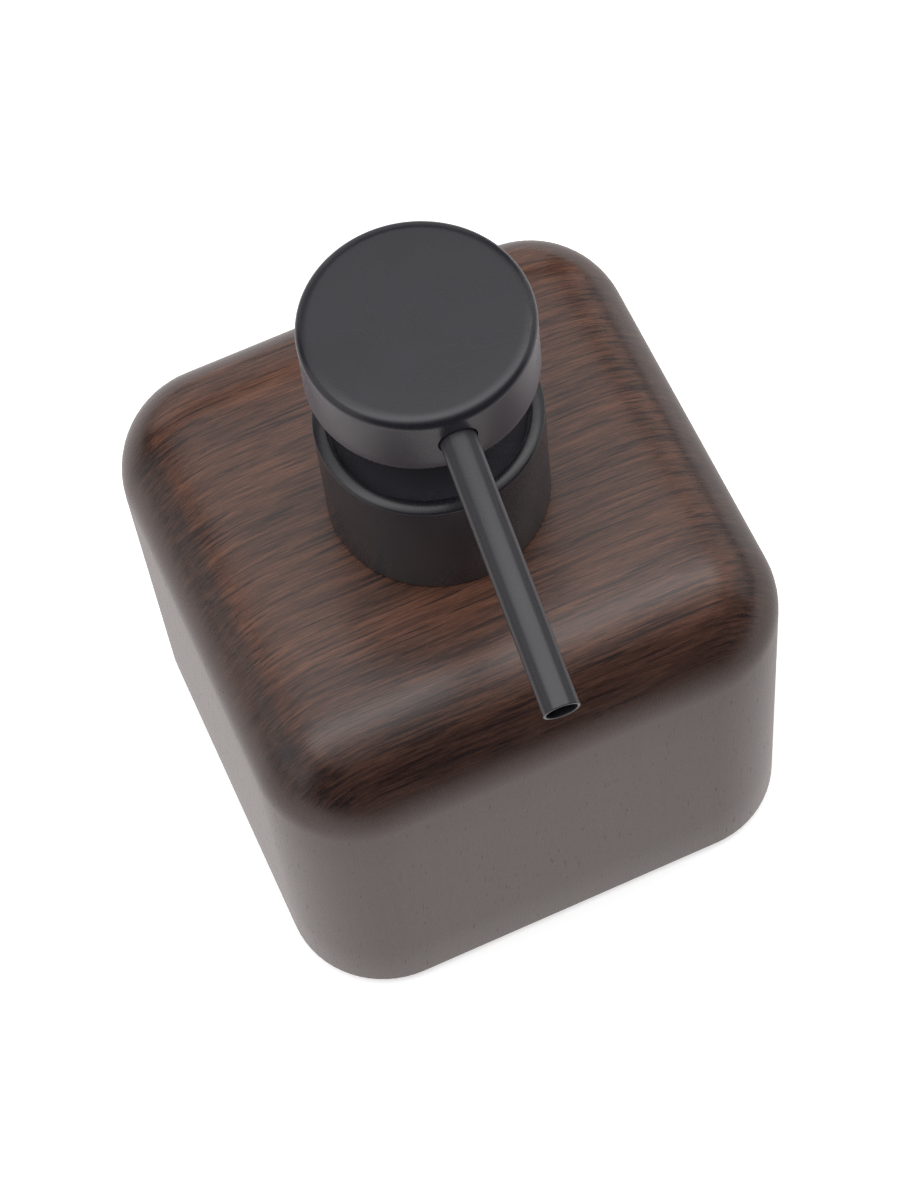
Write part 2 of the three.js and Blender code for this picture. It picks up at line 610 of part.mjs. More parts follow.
// Head core: stem boss, flange for the cover, and the spout socket joined to the stem's channel
const coverBottom = headBottom + HEAD_COVER_RECESS;
const coverTop = coverBottom + HEAD_COVER_THICKNESS;
const channel = STEM_BORE_RADIUS - STEM_WALL_STEP;
const grooveStart = alongLength(SPOUT_SOCKET_END) - 4 * O_RING_RADIUS - CLEARANCE;
const grooveWidth = 2 * (O_RING_RADIUS + CLEARANCE);
const ringCentreRadius = SPOUT_RADIUS + O_RING_RADIUS + CLOSE_CLEARANCE / 2;
const headCore = rod(CORE_BOSS_RADIUS, coreBottom, headRoof)
  .add(rod(CORE_FLANGE_RADIUS, coverTop, coverTop + CORE_FLANGE_THICKNESS))
  .add(alongSpout(rod(SPOUT_SOCKET_RADIUS, 0, alongLength(SPOUT_SOCKET_END), SMALL_FACETS)))
  .intersect(rod(HEAD_RADIUS - HEAD_WALL - CLEARANCE, coreBottom, headRoof))
  .subtract(rod(STEM_RADIUS + CLEARANCE, coreBottom - CUT_MARGIN, stemTop, SMALL_FACETS))
  .subtract(rod(channel, stemTop - CUT_MARGIN, spoutAxisHeight, SMALL_FACETS))
  .subtract(alongSpout(rod(channel, 0, alongLength(HEAD_RADIUS), SMALL_FACETS)))
  .subtract(alongSpout(rod(SPOUT_RADIUS + CLOSE_CLEARANCE, alongLength(SPOUT_SOCKET_START),
    alongLength(HEAD_RADIUS), SMALL_FACETS)))
  .subtract(alongSpout(rod(ringCentreRadius + O_RING_RADIUS + CLOSE_CLEARANCE, grooveStart,
    grooveStart + grooveWidth, SMALL_FACETS)));
addPiece('head_core', 'black_plastic', headCore);

addPiece('head_cover', 'black_plastic', tube(headInner - CLEARANCE, CORE_BOSS_RADIUS + CLEARANCE,
  coverBottom, coverTop));

const spoutTube = tube(SPOUT_RADIUS, SPOUT_RADIUS - SPOUT_WALL,
  alongLength(SPOUT_SOCKET_START) + CLOSE_CLEARANCE, alongLength(SPOUT_REACH), SMALL_FACETS);
addPiece('spout_tube', 'black_metal', alongSpout(spoutTube));

const oRing = new THREE.TorusGeometry(ringCentreRadius, O_RING_RADIUS, 8, SMALL_FACETS);
oRing.translate(0, 0, grooveStart + grooveWidth / 2);
addPiece('spout_o_ring', 'rubber', alongSpout(toManifold(oRing)));

export default group;
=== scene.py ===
"""Soap pump dispenser: a walnut block with a black metal lotion pump, on a pale studio floor."""

import math

import bmesh
import bpy
import numpy as np
from mathutils import Matrix, Vector


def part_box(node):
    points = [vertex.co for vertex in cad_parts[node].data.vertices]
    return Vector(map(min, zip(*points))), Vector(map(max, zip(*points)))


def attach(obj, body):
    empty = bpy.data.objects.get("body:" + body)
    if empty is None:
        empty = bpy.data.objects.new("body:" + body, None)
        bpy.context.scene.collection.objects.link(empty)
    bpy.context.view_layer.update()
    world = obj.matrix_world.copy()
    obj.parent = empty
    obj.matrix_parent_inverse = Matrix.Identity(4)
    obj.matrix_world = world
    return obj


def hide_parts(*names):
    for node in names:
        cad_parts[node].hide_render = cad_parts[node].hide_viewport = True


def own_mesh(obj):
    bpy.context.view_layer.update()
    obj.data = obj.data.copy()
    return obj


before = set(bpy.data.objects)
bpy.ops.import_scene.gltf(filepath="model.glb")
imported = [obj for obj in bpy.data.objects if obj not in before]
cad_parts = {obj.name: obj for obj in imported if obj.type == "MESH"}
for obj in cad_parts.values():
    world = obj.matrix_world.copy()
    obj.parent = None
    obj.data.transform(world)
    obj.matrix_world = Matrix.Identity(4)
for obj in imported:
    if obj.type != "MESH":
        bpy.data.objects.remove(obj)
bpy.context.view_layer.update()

MM = 0.001
ROUND_STEPS = 128
EDGE_STEPS = 16
EASE_STEPS = 6
EDGE_ROUNDING = 0.15 * MM
SHARP_TURN = math.radians(20)
SMOOTH_ANGLE = math.radians(38)


# ---------------------------------------------------------------- mesh helpers


def new_piece(name, mesh, material, body, replaced=()):
    """A finished piece in the row frame, riding on its body."""
    piece = bpy.data.objects.new(name, mesh)
    bpy.context.scene.collection.objects.link(piece)
    dress(piece, material)
    if replaced:
        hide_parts(*replaced)
    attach(piece, body)
    return piece


def dress(piece, material):
    """Gives the piece its one material and smooth shading up to the sharp edges."""
    piece.data.materials.clear()
    piece.data.materials.append(material)
    for polygon in piece.data.polygons:
        polygon.use_smooth = True
        polygon.material_index = 0
    piece.data.set_sharp_from_angle(angle=SMOOTH_ANGLE)


def loft(name, rings, close_path=False):
    """Mesh through rings of points; the path of rings is capped at its ends or joined into a loop."""
    bm = bmesh.new()
    rows = [[bm.verts.new(point) for point in ring] for ring in rings]
    count = len(rows[0])
    pairs = list(zip(rows, rows[1:]))
    if close_path:
        pairs.append((rows[-1], rows[0]))
    for low, high in pairs:
        for i in range(count):
            j = (i + 1) % count
            bm.faces.new((low[i], low[j], high[j], high[i]))
    if not close_path:
        bm.faces.new(rows[0])
        bm.faces.new(rows[-1])
    return finished_mesh(name, bm)


def finished_mesh(name, bm):
    bmesh.ops.remove_doubles(bm, verts=bm.verts, dist=1e-7)
    bmesh.ops.recalc_face_normals(bm, faces=bm.faces)
    mesh = bpy.data.meshes.new(name)
    bm.to_mesh(mesh)
    bm.free()
    return mesh


def rounded_profile(points, closed, radius=EDGE_ROUNDING, steps=4):
    """The (r, z) polyline with its sharp corners turned into small arcs."""
    rounded = []
    count = len(points)
    for i, point in enumerate(points):
        here = Vector(point)
        at_end = not closed and i in (0, count - 1)
        before, after = Vector(points[i - 1]), Vector(points[(i + 1) % count])
        if at_end:
            rounded.append(here)
            continue
        towards_before, towards_after = before - here, after - here
        turn = math.pi - towards_before.angle(towards_after)
        if turn < SHARP_TURN:
            rounded.append(here)
            continue
        reach = radius * math.tan(turn / 2)
        reach = min(reach, towards_before.length * 0.4, towards_after.length * 0.4)
        start = here + towards_before.normalized() * reach
        end = here + towards_after.normalized() * reach
        for step in range(steps + 1):
            t = step / steps
            rounded.append((1 - t) ** 2 * start + 2 * t * (1 - t) * here + t**2 * end)
    return rounded


def turn_about_z(name, profile, closed, steps=ROUND_STEPS, reshape=None):
    """Solid of revolution from (r, z) points; reshape(r, z, angle) may vary the radius round the axis."""
    bm = bmesh.new()
    columns = []
    for k in range(steps):
        angle = 2 * math.pi * k / steps
        column = []
        for r, z in profile:
            radius = reshape(r, z, angle) if reshape else r
            column.append(bm.verts.new((radius * math.cos(angle), radius * math.sin(angle), z)))
        columns.append(column)
    length = len(profile)
    last = length if closed else length - 1
    for k in range(steps):
        here, beyond = columns[k], columns[(k + 1) % steps]
        for i in range(last):
            j = (i + 1) % length
            bm.faces.new((here[i], beyond[i], beyond[j], here[j]))
    return finished_mesh(name, bm)


def cad_profile(node):
    """The (r, z) outline of a round CAD node, read off its mesh where it crosses the +X half-plane."""
    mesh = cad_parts[node].data
    key = lambda v: (round(v.co.x, 6), round(v.co.z, 6))
    on_plane = {v.index: key(v) for v in mesh.vertices if abs(v.co.y) < 2e-6 and v.co.x > -1e-6}
    links = {point: set() for point in on_plane.values()}
    for edge in mesh.edges:
        a, b = (on_plane.get(i) for i in edge.vertices)
        if a is not None and b is not None and a != b:
            links[a].add(b)
            links[b].add(a)
    chain = [min(links, key=lambda p: (len(links[p]), p[0], p[1]))]
    used = set(chain)
    while True:
        here = chain[-1]
        free = [p for p in links[here] if p not in used]
        if not free:
            free = [p for p in links if p not in used and (p[0] == here[0] or p[1] == here[1])]
        if not free:
            break
        nearest = min(free, key=lambda p: math.dist(p, here))
        chain.append(nearest)
        used.add(nearest)
    closed = min(p[0] for p in chain) > 1e-5
    return straightened(chain, closed), closed


def straightened(chain, closed):
    """Drops the points that lie on a straight run between their neighbours."""
    kept = []
    for i, point in enumerate(chain):
        at_end = not closed and i in (0, len(chain) - 1)
        before = Vector(point) - Vector(chain[i - 1])
        after = Vector(chain[(i + 1) % len(chain)]) - Vector(point)
        if at_end or before.length < 1e-7 or after.length < 1e-7 or before.angle(after) > 1e-3:
            kept.append(point)
    return kept


def refined_round(node, material, body, rounding=EDGE_ROUNDING, reshape=None, steps=ROUND_STEPS):
    """Replaces a round CAD node by a smooth one with softened edges."""
    points, closed = cad_profile(node)
    profile = rounded_profile(points, closed, rounding)
    mesh = turn_about_z(f"{node}_fine", profile, closed, steps, reshape)
    return new_piece(f"{node}_fine", mesh, material, body, (node,))


def eased_edge(radius, top, edge, ease, ease_radius):
    """Outline from the wall up over a rounded edge that eases into the flat top."""
    tight = (edge - ease_radius * (1 - math.cos(ease))) / math.cos(ease)
    points = []
    for step in range(EDGE_STEPS + 1):
        slope = math.pi / 2 - (math.pi / 2 - ease) * step / EDGE_STEPS
        points.append((radius - tight * (1 - math.sin(slope)), top - edge + tight * math.cos(slope)))
    reach = points[-1][0]
    for step in range(1, EASE_STEPS + 1):
        slope = ease * (1 - step / EASE_STEPS)
        inset = ease_radius * (math.sin(ease) - math.sin(slope))
        points.append((reach - inset, top - ease_radius * (1 - math.cos(slope))))
    return points


def quarter_turn(steps):
    """Angles from 0 to 90 degrees, both ends included."""
    return [(math.pi / 2) * step / steps for step in range(steps + 1)]


def square_ring(half, corner, z, corner_steps=16, side_steps=8):
    """Points round a square with rounded corners, evenly spread along each straight side."""
    ring = []
    for quarter in range(4):
        turn = Matrix.Rotation(quarter * math.pi / 2, 2)
        middle = Vector((half - corner, half - corner))
        for step in range(corner_steps + 1):
            angle = (math.pi / 2) * step / corner_steps
            point = middle + corner * Vector((math.cos(angle), math.sin(angle)))
            ring.append(turn @ point)
        for step in range(1, side_steps):
            x = (half - corner) * (1 - 2 * step / side_steps)
            ring.append(turn @ Vector((x, half)))
    return [Vector((p.x, p.y, z)) for p in ring]


def round_ring(radius, z, like):
    """Points on a circle at the bearings of another ring's points."""
    return [Vector((p.x, p.y, 0)).normalized() * radius + Vector((0, 0, z)) for p in like]


def swept_about_z(name, section, turns, steps_per_turn):
    """Mesh swept round Z; section(turn) gives the (r, z) points after that many turns."""
    rings = []
    steps = round(turns * steps_per_turn)
    for step in range(steps + 1):
        turn = turns * step / steps
        angle = 2 * math.pi * turn
        rings.append(
            [Vector((r * math.cos(angle), r * math.sin(angle), z)) for r, z in section(turn)]
        )
    return loft(name, rings)


# ---------------------------------------------------------------- material helpers


class Nodes:
    """Short forms for building a node material."""

    def __init__(self, name):
        self.material = bpy.data.materials.new(name)
        self.material.use_nodes = True
        self.tree = self.material.node_tree
        self.shader = self.tree.nodes["Principled BSDF"]
        self.place = self.tree.nodes.new("ShaderNodeTexCoord").outputs["Object"]

    def link(self, source, target):
        self.tree.links.new(source, target)

    def set(self, **values):
        for key, value in values.items():
            self.shader.inputs[key.replace("_", " ")].default_value = value

    def stretched(self, scale, source=None):
        node = self.tree.nodes.new("ShaderNodeMapping")
        node.inputs["Scale"].default_value = scale
        self.link(source or self.place, node.inputs["Vector"])
        return node.outputs["Vector"]

    def noise(self, vector, scale, detail=4.0, roughness=0.55, distortion=0.0):
        node = self.tree.nodes.new("ShaderNodeTexNoise")
        node.inputs["Scale"].default_value = scale
        node.inputs["Detail"].default_value = detail
        node.inputs["Roughness"].default_value = roughness
        node.inputs["Distortion"].default_value = distortion
        self.link(vector, node.inputs["Vector"])
        return node.outputs["Fac"]

    def ramp(self, factor, *stops):
        node = self.tree.nodes.new("ShaderNodeValToRGB")
        elements = node.color_ramp.elements
        while len(elements) < len(stops):
            elements.new(0.5)
        for element, (position, colour) in zip(elements, stops):
            element.position = position
            element.color = (*colour, 1) if len(colour) == 3 else colour
        self.link(factor, node.inputs["Fac"])
        return node.outputs["Color"]

    def span(self, value, low, high, to_low=0.0, to_high=1.0):
        node = self.tree.nodes.new("ShaderNodeMapRange")
        node.interpolation_type = "SMOOTHSTEP"
        limits = {"From Min": low, "From Max": high, "To Min": to_low, "To Max": to_high}
        for key, number in limits.items():
            node.inputs[key].default_value = number
        self.link(value, node.inputs["Value"])
        return node.outputs["Result"]

    def maths(self, operation, a, b=0.0):
        node = self.tree.nodes.new("ShaderNodeMath")
        node.operation = operation
        for socket, value in zip(node.inputs, (a, b)):
            if isinstance(value, (int, float)):
                socket.default_value = value
            else:
                self.link(value, socket)
        return node.outputs[0]

    def length(self, vector):
        node = self.tree.nodes.new("ShaderNodeVectorMath")
        node.operation = "LENGTH"
        self.link(vector, node.inputs[0])
        return node.outputs["Value"]

    def mix(self, factor, a, b, blend="MIX"):
        node = self.tree.nodes.new("ShaderNodeMix")
        node.data_type = "RGBA"
        node.blend_type = blend
        for socket, value in ((node.inputs[0], factor), (node.inputs[6], a), (node.inputs[7], b)):
            if isinstance(value, (int, float)):
                socket.default_value = value
            elif isinstance(value, tuple):
                socket.default_value = (*value, 1)
            else:
                self.link(value, socket)
        return node.outputs[2]

    def blend(self, factor, a, b):
        node = self.tree.nodes.new("ShaderNodeMix")
        for socket, value in ((node.inputs[0], factor), (node.inputs[2], a), (node.inputs[3], b)):
            if isinstance(value, (int, float)):
                socket.default_value = value
            else:
                self.link(value, socket)
        return node.outputs[0]

    def edges(self, low=0.52, high=0.6):
        """1 on worn outer edges, 0 elsewhere."""
        geometry = self.tree.nodes.new("ShaderNodeNewGeometry")
        return self.span(geometry.outputs["Pointiness"], low, high)

    def upward(self):
        """The height part of the surface's own direction, 1 facing up."""
        geometry = self.tree.nodes.new("ShaderNodeTexCoord")
        split = self.tree.nodes.new("ShaderNodeSeparateXYZ")
        self.link(geometry.outputs["Normal"], split.inputs[0])
        return split.outputs["Z"]

    def bump(self, height, distance, strength=1.0, under=None):
        node = self.tree.nodes.new("ShaderNodeBump")
        node.inputs["Distance"].default_value = distance
        node.inputs["Strength"].default_value = strength
        self.link(height, node.inputs["Height"])
        if under:
            self.link(under, node.inputs["Normal"])
        return node.outputs["Normal"]

    def finish(self, colour=None, roughness=None, normal=None):
        for value, key in ((colour, "Base Color"), (roughness, "Roughness"), (normal, "Normal")):
            if value is not None:
                self.link(value, self.shader.inputs[key])
        return self.material


# The walnut's figure is a sum of three noises, each with its share; the sides show less of it.
BROAD_SHARE, BAND_SHARE, FIBRE_SHARE = 0.24, 0.36, 0.40
SIDE_GRAIN_CONTRAST = 0.3
# Painted shade: the sides are multiplied by this colour, darker and cooler than the level top, which keeps
# its own colour.
SIDE_PAINTED_SHADE = (0.51, 0.55, 0.62)
NO_PAINTED_SHADE = (1.0, 1.0, 1.0)
WALNUT_TONES = (
    (0.41, (0.030, 0.0155, 0.0130)),
    (0.47, (0.068, 0.0315, 0.0220)),
    (0.53, (0.098, 0.0440, 0.0285)),
    (0.61, (0.150, 0.066, 0.041)),
)
GRAIN_LINE, GRAIN_LINE_STRENGTH = (0.015, 0.010, 0.011), 0.75
PORE, PORE_STRENGTH = (0.008, 0.005, 0.004), 0.22
WORN_WOOD, WOOD_WEAR = (0.13, 0.065, 0.045), 0.15
WOOD_RELIEF = 0.012 * MM


def walnut():
    """Satin-lacquered dark walnut: grain lines along X on the top, faint upright ones on the sides, which
    painted shade makes darker and cooler than the top.
    """
    n = Nodes("walnut")
    n.set(Specular_IOR_Level=0.5, IOR=1.5)
    upward = n.upward()
    on_top = n.span(upward, 0.3, 0.6)
    nearly_level = n.span(upward, 0.74, 0.86)

    def both(scale_top, scale_side, size, **options):
        top = n.noise(n.stretched(scale_top), size, **options)
        side = n.noise(n.stretched(scale_side), size, **options)
        return n.blend(on_top, n.blend(SIDE_GRAIN_CONTRAST, 0.5, side), top)

    broad = both((0.3, 1.0, 0.4), (1.0, 1.0, 0.2), 60, detail=4, roughness=0.6, distortion=0.5)
    bands = both((0.05, 1.0, 0.12), (1.0, 1.0, 0.04), 700, detail=4, roughness=0.7, distortion=0.15)
    fibre = both((0.05, 1.0, 0.15), (1.0, 1.0, 0.03), 2800, detail=4, roughness=0.75)
    dashes = both((0.028, 1.0, 0.12), (1.0, 1.0, 0.05), 2100, detail=2, roughness=0.6, distortion=0.05)
    pores = n.noise(n.stretched((1.0, 1.0, 0.12)), 2300, detail=2, roughness=0.5)

    figure = n.maths("ADD", n.maths("MULTIPLY", broad, BROAD_SHARE), n.maths("MULTIPLY", bands, BAND_SHARE))
    figure = n.maths("ADD", figure, n.maths("MULTIPLY", fibre, FIBRE_SHARE))
    colour = n.ramp(figure, *WALNUT_TONES)
    # Painted shade: away from the level top the colour is multiplied darker and cooler.
    colour = n.mix(1.0, colour, n.mix(nearly_level, SIDE_PAINTED_SHADE, NO_PAINTED_SHADE), "MULTIPLY")
    lines = n.span(dashes, 0.57, 0.61)
    colour = n.mix(n.maths("MULTIPLY", lines, GRAIN_LINE_STRENGTH), colour, GRAIN_LINE)
    pore_mask = n.maths("MULTIPLY", n.span(pores, 0.66, 0.74), n.blend(on_top, 1.0, 0.0))
    colour = n.mix(n.maths("MULTIPLY", pore_mask, PORE_STRENGTH), colour, PORE)
    colour = n.mix(n.maths("MULTIPLY", n.edges(), WOOD_WEAR), colour, WORN_WOOD)
    roughness = n.span(n.maths("ADD", fibre, pore_mask), 0.3, 1.5, 0.26, 0.42)
    relief = n.bump(n.maths("SUBTRACT", fibre, pore_mask), WOOD_RELIEF, 0.4)
    return n.finish(colour, roughness, relief)


BLACK_DARK, BLACK_LIGHT = (0.0115, 0.0108, 0.0146), (0.0150, 0.0141, 0.0190)
WORN_BLACK, BLACK_WEAR = (0.06, 0.06, 0.063), 0.3
SHEEN_TINT = (0.9, 0.86, 1.0, 1.0)
# Painted light: the collar's dish is painted this paler black, standing in for light inside the dish under
# the head.
DISH_PAINTED_LIGHT = (0.040, 0.039, 0.047)
DISH_PAINTED_LIGHT_EDGE = 0.2 * MM


def satin_black(name, sheen, painted_light_within=None):
    """Black coated metal: fine texture, faint smudges, worn edges, and painted light that makes it paler
    within a distance of Z.
    """
    n = Nodes(name)
    n.set(Specular_IOR_Level=0.5, Sheen_Weight=sheen, Sheen_Roughness=0.4, Sheen_Tint=SHEEN_TINT)
    grain = n.noise(n.place, 5200, detail=2)
    smudge = n.noise(n.place, 60, detail=4, distortion=0.8)
    colour = n.ramp(smudge, (0.3, BLACK_DARK), (0.7, BLACK_LIGHT))
    # Painted light: within the given distance of Z the coating is painted paler, as light inside the
    # collar's dish.
    if painted_light_within:
        outward = n.length(n.stretched((1.0, 1.0, 0.0)))
        painted_light_mask = n.span(outward, painted_light_within - DISH_PAINTED_LIGHT_EDGE, painted_light_within, 1.0, 0.0)
        colour = n.mix(painted_light_mask, colour, DISH_PAINTED_LIGHT)
    colour = n.mix(n.maths("MULTIPLY", n.edges(0.54, 0.66), BLACK_WEAR), colour, WORN_BLACK)
    roughness = n.span(n.maths("ADD", n.maths("MULTIPLY", grain, 0.3), smudge), 0.3, 1.0, 0.24, 0.32)
    return n.finish(colour, roughness, n.bump(grain, 0.006 * MM, 0.2))


def moulded(name, dark, light, roughness_range, grain_size=2600, relief=0.4, **settings):
    """Moulded plastic or rubber: mottled colour, moulded grain and rubbed edges."""
    n = Nodes(name)
    n.set(**settings)
    grain = n.noise(n.place, grain_size, detail=3)
    mottle = n.noise(n.place, 130, detail=4, distortion=0.4)
    colour = n.ramp(mottle, (0.3, dark), (0.7, light))
    rubbed = tuple(min(1.0, 1.6 * c + 0.01) for c in light)
    colour = n.mix(n.maths("MULTIPLY", n.edges(), 0.3), colour, rubbed)
    roughness = n.span(n.maths("ADD", grain, mottle), 0.6, 1.4, *roughness_range)
    return n.finish(colour, roughness, n.bump(grain, 0.02 * MM, relief))


def drawn_steel():
    """Bright drawn wire and turned steel: fine lines along the piece's height, slight tarnish."""
    n = Nodes("drawn_steel")
    n.set(Metallic=1.0)
    lines = n.noise(n.stretched((1, 1, 0.08)), 3800, detail=3)
    tarnish = n.noise(n.place, 240, detail=4)
    colour = n.ramp(tarnish, (0.3, (0.40, 0.40, 0.41)), (0.7, (0.58, 0.59, 0.60)))
    roughness = n.span(n.maths("ADD", lines, tarnish), 0.6, 1.4, 0.18, 0.36)
    return n.finish(colour, roughness, n.bump(lines, 0.006 * MM, 0.4))


PLAIN_SHEEN, HEAD_SHEEN = 0.01, 0.13
WALNUT = walnut()
SATIN_BLACK = satin_black("satin_black", PLAIN_SHEEN)
SATIN_BLACK_HEAD = satin_black("satin_black_head", HEAD_SHEEN)
BLACK_PLASTIC = moulded("black_plastic", (0.010, 0.010, 0.011), (0.018, 0.018, 0.019), (0.38, 0.56))
NATURAL_PLASTIC = moulded(
    "natural_plastic", (0.60, 0.61, 0.57), (0.72, 0.73, 0.69), (0.34, 0.5),
    Subsurface_Weight=0.25, Subsurface_Scale=0.002,
)
CLEAR_PLASTIC = moulded(
    "clear_plastic", (0.74, 0.77, 0.76), (0.80, 0.83, 0.82), (0.2, 0.34), relief=0.08,
    Transmission_Weight=0.35, IOR=1.5,
)
RUBBER = moulded("rubber", (0.014, 0.014, 0.015), (0.026, 0.026, 0.028), (0.7, 0.9), grain_size=4200)
STEEL = drawn_steel()


# ---------------------------------------------------------------- wooden block and base

PLATE_GAP = 0.3 * MM
LINER_GAP = 1.5 * MM
TOP_THICKNESS = 8 * MM
FOOT_RADIUS = 1.5 * MM
TOP_EASE = math.radians(5)
TOP_EASE_RADIUS = 90 * MM
FLAT_CORNER = 9 * MM
BORE_SOFTENING = 0.5 * MM
REBATE_SOFTENING = 0.2 * MM
PAD_SOFTENING = 0.4 * MM
CORNER_GROWTH_START = 0.8
FLAT_SHARES = (0.12, 0.35, 0.6, 0.8, 0.93)
WALL_SHARES = (0.2, 0.4, 0.6, 0.8)


def radii(node, low, high):
    """Smallest and largest distance from Z of a CAD node's points between two heights."""
    points = (v.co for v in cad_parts[node].data.vertices)
    reach = [math.hypot(p.x, p.y) for p in points if low <= p.z <= high]
    return min(reach), max(reach)


def heights(node, inner, outer):
    """Lowest and highest of a CAD node's points between two distances from Z."""
    points = (v.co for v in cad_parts[node].data.vertices)
    levels = [p.z for p in points if inner <= math.hypot(p.x, p.y) <= outer]
    return min(levels), max(levels)


def corner_radius(node):
    """Radius of a squarish CAD node's upright corners, from how far they reach along the diagonal."""
    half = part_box(node)[1][0]
    reach = max(min(abs(v.co.x), abs(v.co.y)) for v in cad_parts[node].data.vertices)
    return (half - reach) / (1 - math.sqrt(0.5))


def block_top_radius(node):
    """Radius of the block's top edge: its height above the highest full-width point."""
    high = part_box(node)[1]
    full = [v.co.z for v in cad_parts[node].data.vertices if v.co.x > high[0] - 1e-6]
    return high[2] - max(full)


def build_block():
    """Hollow block: rounded top edges, softened bore, rebated foot."""
    low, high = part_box("wood_body")
    half, bottom, top = high[0], low[2], high[2]
    corner = corner_radius("wood_body")
    top_radius = block_top_radius("wood_body")
    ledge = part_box("base_plate")[1][2]
    rebate_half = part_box("base_plate")[1][0] + PLATE_GAP
    rebate_corner = corner - (half - rebate_half)
    cavity_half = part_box("inner_bottle")[1][0] + LINER_GAP
    cavity_corner = corner_radius("inner_bottle") + LINER_GAP
    ceiling = top - TOP_THICKNESS
    bore = radii("wood_body", top - MM, top)[0]

    guide = square_ring(half, corner, 0)
    rings = []
    for angle in quarter_turn(4):
        reach = bore + BORE_SOFTENING * (1 - math.sin(angle))
        rings.append(round_ring(reach, top - BORE_SOFTENING * (1 - math.cos(angle)), guide))
    rings.reverse()
    edge = eased_edge(half, top, top_radius, TOP_EASE, TOP_EASE_RADIUS)[::-1]
    flat_half = edge[0][0]
    flat = square_ring(flat_half, FLAT_CORNER, top)
    circle = round_ring(bore + BORE_SOFTENING, top, guide)
    for share in FLAT_SHARES:
        rings.append([near.lerp(far, share) for near, far in zip(circle, flat)])
    growth_start = CORNER_GROWTH_START * top_radius
    for reach, level in edge:
        inset = half - reach
        inwards = min(1.0, max(0.0, (inset - growth_start) / (half - flat_half - growth_start)))
        rings.append(square_ring(reach, max(corner - inset, 0.0) + inwards * FLAT_CORNER, level))
    for share in WALL_SHARES:
        level = (top - top_radius) * (1 - share) + (bottom + FOOT_RADIUS) * share
        rings.append(square_ring(half, corner, level))
    for angle in quarter_turn(6):
        inset = FOOT_RADIUS * (1 - math.cos(angle))
        level = bottom + FOOT_RADIUS * (1 - math.sin(angle))
        rings.append(square_ring(half - inset, corner - inset, level))
    rings.append(square_ring(rebate_half + REBATE_SOFTENING, rebate_corner + REBATE_SOFTENING, bottom))
    rings.append(square_ring(rebate_half, rebate_corner, bottom + REBATE_SOFTENING))
    rings.append(square_ring(rebate_half, rebate_corner, ledge))
    rings.append(square_ring(cavity_half, cavity_corner, ledge))
    rings.append(square_ring(cavity_half, cavity_corner, ceiling))
    rings.append(round_ring(bore, ceiling, guide))
    mesh = loft("wood_block", rings, close_path=True)
    new_piece("wood_block", mesh, WALNUT, "bottle", ("wood_body",))


def build_pad():
    """Anti-slip pad with softened edges."""
    low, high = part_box("base_pad")
    half, corner = high[0], corner_radius("base_pad")
    rings = []
    for angle in quarter_turn(4):
        inset = PAD_SOFTENING * (1 - math.sin(angle))
        level = low[2] + PAD_SOFTENING * (1 - math.cos(angle))
        rings.append(square_ring(half - inset, corner - inset, level))
    rings.append(square_ring(half, corner, high[2] - PAD_SOFTENING / 2))
    rings.append(square_ring(half - PAD_SOFTENING / 2, corner - PAD_SOFTENING / 2, high[2]))
    mesh = loft("base_pad_fine", rings)
    new_piece("base_pad_fine", mesh, RUBBER, "bottle", ("base_pad",))


def keep(node, material, softening=0.12 * MM):
    """A CAD node that stays, with its edges softened."""
    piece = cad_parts[node]
    dress(piece, material)
    if softening:
        bevel = piece.modifiers.new("softened_edges", "BEVEL")
        bevel.width = softening
        bevel.segments = 2
        bevel.limit_method = "ANGLE"
        bevel.angle_limit = math.radians(40)
        bevel.harden_normals = False


build_block()
build_pad()
keep("base_plate", BLACK_PLASTIC)
for number in (1, 2, 3, 4):
    keep(f"base_screw_{number}", STEEL, softening=None)


# ---------------------------------------------------------------- liner bottle

LINER_WALL = 1.5 * MM
LINER_FOOT_RADIUS = 3 * MM
LINER_SHOULDER_RADIUS = 6 * MM
NECK_SOFTENING = 0.5 * MM
RIM_SOFTENING = 0.3 * MM
THREAD_PITCH = 4.2 * MM
THREAD_TURNS = 1.5
THREAD_HEIGHT = 1.2 * MM
THREAD_BELOW_RIM = 9.5 * MM
THREAD_RUN_OUT = 0.2
THREAD_END_HEIGHT = 0.15


def liner_skin(half, corner, floor, shoulder, foot_radius, shoulder_radius, neck):
    """Rings from the floor up to the foot of the neck, for the liner's outside or inside."""
    guide = square_ring(half, corner, 0)
    rings = []
    for angle in quarter_turn(8):
        inset = foot_radius * (1 - math.sin(angle))
        rings.append(square_ring(half - inset, corner - inset, floor + foot_radius * (1 - math.cos(angle))))
    for angle in quarter_turn(8):
        inset = shoulder_radius * (1 - math.cos(angle))
        level = shoulder - shoulder_radius * (1 - math.sin(angle))
        rings.append(square_ring(half - inset, corner - inset, level))
    rings.append(round_ring(neck + NECK_SOFTENING, shoulder, guide))
    rings.append(round_ring(neck, shoulder + NECK_SOFTENING, guide))
    return rings


